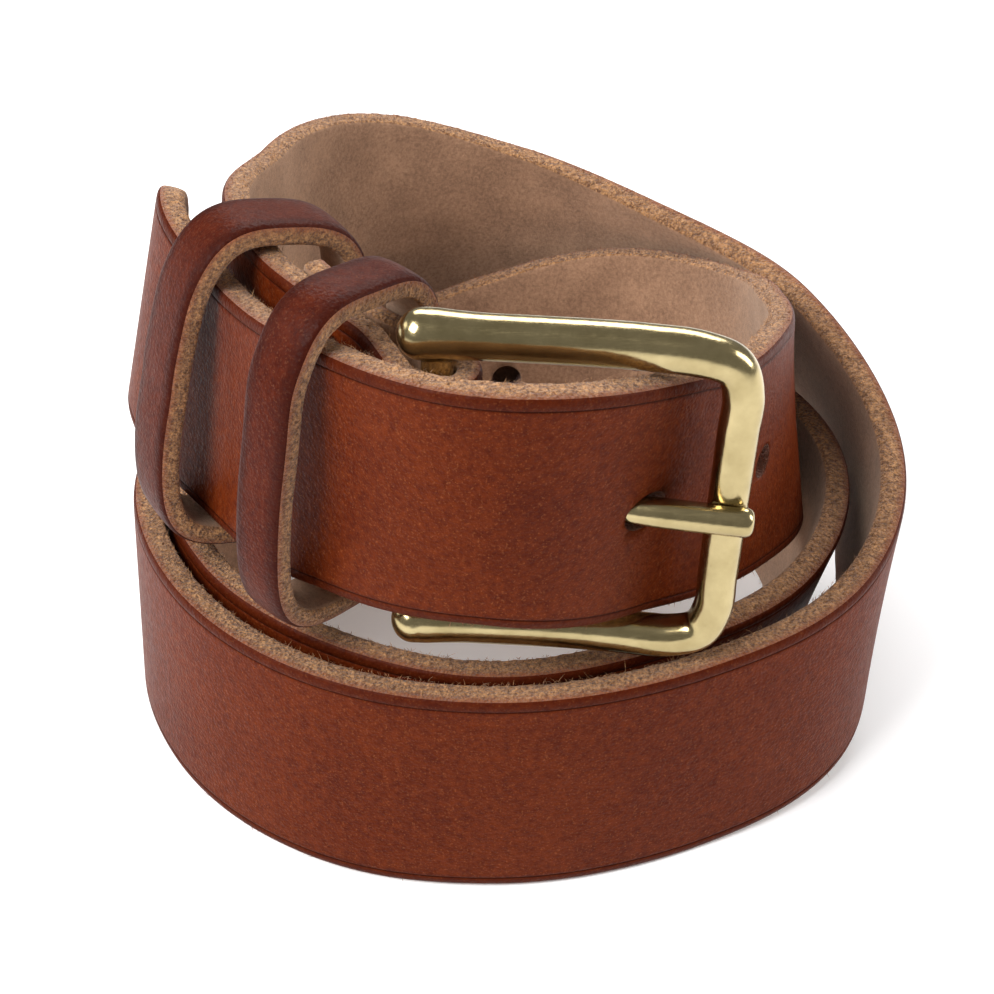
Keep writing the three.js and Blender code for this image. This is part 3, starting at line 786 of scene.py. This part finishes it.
def build_keeper(name, keeper, seed):
    """A band of leather bent into an oval, its two ends meeting on the inner run."""
    rng = np.random.default_rng(seed)
    centre, through, up, out = keeper_axes(keeper)
    thick, wide = keeper["thickness"], keeper["width"]
    path = even_oval(keeper["half_depth"] - thick / 2, keeper["half_height"] - thick / 2, 420)
    ahead = unit(np.gradient(path, axis=0))
    normal = np.stack([ahead[:, 1], -ahead[:, 0]], -1)
    half = wide / 2
    grain = [(half, 0), (half - 1.2, 0.0), (half - 2.4, 0.0), (half - 3.6, 0.0)]
    corner = [(1.1, 0.02), (0.7, 0.07), (0.38, 0.2), (0.15, 0.44)]
    cut_face = [(0.03, 0.8), (0.0, 1.2), (-0.03, 1.7), (-0.02, 2.2), (0.02, 2.7), (0.12, thick - 0.35)]
    back = [(0.35, thick - 0.12), (0.8, thick), (2.4, thick), (half, thick)]
    top = [p for p in grain if p[0] > 1.2]
    columns = [(*p, 0) for p in top + corner] + [(*p, 2) for p in cut_face] + [(*p, 1) for p in back]
    ring = [(1, *p) for p in columns] + [(-1, *p) for p in columns[::-1][1:-1]]
    side, edge, depth, zone = np.array(ring, float).T
    rows, count = len(path), len(ring)
    crown = 0.28 * (1 - (1 - np.clip(edge, 0, half) / half)**2)
    waver = wander(rows, 22, rng) * 0.14
    pits = wander(rows, 1, rng, count).T * np.where(zone == 2, 0.06, 0.0)
    across = (half - edge) * side + waver[:, None] + pits
    height = thick / 2 - depth + np.where(zone == 0, crown - 0.15, 0)
    height = height[None] + (wander(rows, 16, rng) * 0.05)[:, None]
    flat = path[:, None] + normal[:, None] * height[..., None]
    shell = centre + flat[..., :1] * out + flat[..., 1:] * up + across[..., None] * through
    faces = capped(grid_faces(rows, count), rows, count)
    following = np.roll(zone, -1)
    kind = np.where((zone == 2) | (following == 2), 1, np.where(zone == 1, 2, 0))
    edge_uv = np.stack([np.tile(edge, (rows, 1)), np.tile(depth, (rows, 1))], -1).reshape(-1, 2)
    body = new_object(
        name, shell.reshape(-1, 3), faces, (KEEPER_GRAIN, RAW_EDGE, FLESH),
        np.concatenate([np.tile(kind, rows - 1), [1, 1]]), {"edge": edge_uv},
    )
    return body


def build_staple(name, keeper):
    centre, through, up, out = keeper_axes(keeper)
    outside = -keeper["half_depth"] - 0.3 - STAPLE["wire"]
    inside = -keeper["half_depth"] + keeper["thickness"] + STAPLE["out"]
    half = STAPLE["crown"] / 2
    places = ((inside, -half), (outside, -half), (outside, half), (inside, half))
    corners = [centre + out * o + up * u for o, u in places]
    path = rounded_path(corners, 1.1)
    return new_object(name, *tube(path, STAPLE["wire"], through, 16, 2.6), (STEEL,))


def build_thread(name, angle):
    point, ahead, up, out, outer, inner = stitch_places(angle)
    corners = []
    for i in range(STITCH["count"]):
        u = (i - (STITCH["count"] - 1) / 2) * STITCH["pitch"]
        first, second = (outer, inner) if i % 2 == 0 else (inner, outer)
        corners += [point + up * u + out * first, point + up * u + out * second]
    path = rounded_path(corners, 0.9, 6)
    dense = []
    for start, end in zip(path, path[1:]):
        pieces = max(1, int(np.linalg.norm(end - start) / 0.25))
        dense += [start + (end - start) * k / pieces for k in range(pieces)]
    dense = np.array([*dense, path[-1]])
    return new_object(name, *tube(dense, STITCH["thread"], ahead, 14, 2.0, lobes=(3, 2.4)), (THREAD,))


# ---- the belt, put together ----
def place_piece(body, node, cad_body):
    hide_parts(node)
    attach(body, cad_body)


strap = cut_strap(build_strap())
place_piece(strap, "strap", "strap")
fibres = add_fibres("strap_edge_fibres", 38000, np.random.default_rng(SEED + 1))
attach(fibres, "strap")
place_piece(build_buckle_frame(), "buckle_frame", "buckle_frame")
place_piece(build_prong(), "prong", "prong")
for number, (name, keeper) in enumerate(KEEPERS.items()):
    band = build_keeper(f"leather_{name}", keeper, SEED + 20 + number)
    place_piece(band, name, keeper["body"])
    staple = build_staple(f"wire_{name}_staple", keeper)
    place_piece(staple, f"{name}_staple", keeper["body"])
for number, angle in enumerate(STITCH["angles"], 1):
    place_piece(build_thread(f"stitching_{number}", angle), f"turn_back_thread_{number}", "strap")


# ---- floor, light and camera ----
def build_floor():
    n = Nodes("floor")
    n.set(Base_Color=(0.95, 0.95, 0.95), Roughness=0.9, Specular_IOR_Level=0.1)
    n.set(Emission_Color=(1.0, 1.0, 1.0), Emission_Strength=0.12)
    size = 3000
    corners = [(-size, -size, 0), (size, -size, 0), (size, size, 0), (-size, size, 0)]
    floor = new_object("floor", corners, [(0, 1, 2, 3)], (n.material,))
    floor.location.z = -0.0001


def area_light(name, place, target, size, power):
    light = bpy.data.lights.new(name, "AREA")
    light.shape = "RECTANGLE"
    light.size, light.size_y = (k * MM for k in size)
    light.energy = power
    body = bpy.data.objects.new(name, light)
    bpy.context.scene.collection.objects.link(body)
    aim(body, place, target)


def aim(body, place, target):
    place, target = Vector([k * MM for k in place]), Vector([k * MM for k in target])
    body.location = place
    body.rotation_euler = (target - place).to_track_quat("-Z", "Y").to_euler()


def build_studio():
    world = bpy.data.worlds.new("studio")
    world.use_nodes = True
    world.node_tree.nodes["Background"].inputs["Color"].default_value = (1, 1, 1, 1)
    world.node_tree.nodes["Background"].inputs["Strength"].default_value = 0.3
    bpy.context.scene.world = world
    area_light("key", (-420, -330, 620), (0, 0, 40), (420, 420), 7.5)
    area_light("fill", (640, 20, 380), (0, 0, 40), (300, 420), 3.0)
    area_light("back", (60, 620, 560), (0, 0, 40), (700, 300), 4.6)
    area_light("left", (-650, 120, 230), (-20, 0, 50), (260, 420), 0.9)
    bpy.context.scene.view_settings.view_transform = "Standard"


def build_camera():
    camera = bpy.data.cameras.new("camera")
    camera.lens = CAMERA["lens"]
    camera.sensor_width = 36
    camera.clip_start = 0.01
    body = bpy.data.objects.new("camera", camera)
    bpy.context.scene.collection.objects.link(body)
    tilt = math.radians(CAMERA["elevation"])
    x, y, z = CAMERA["target"]
    place = (x, y - CAMERA["distance"] * math.cos(tilt), z + CAMERA["distance"] * math.sin(tilt))
    aim(body, place, CAMERA["target"])
    bpy.context.scene.camera = body


build_floor()
build_studio()
build_camera()
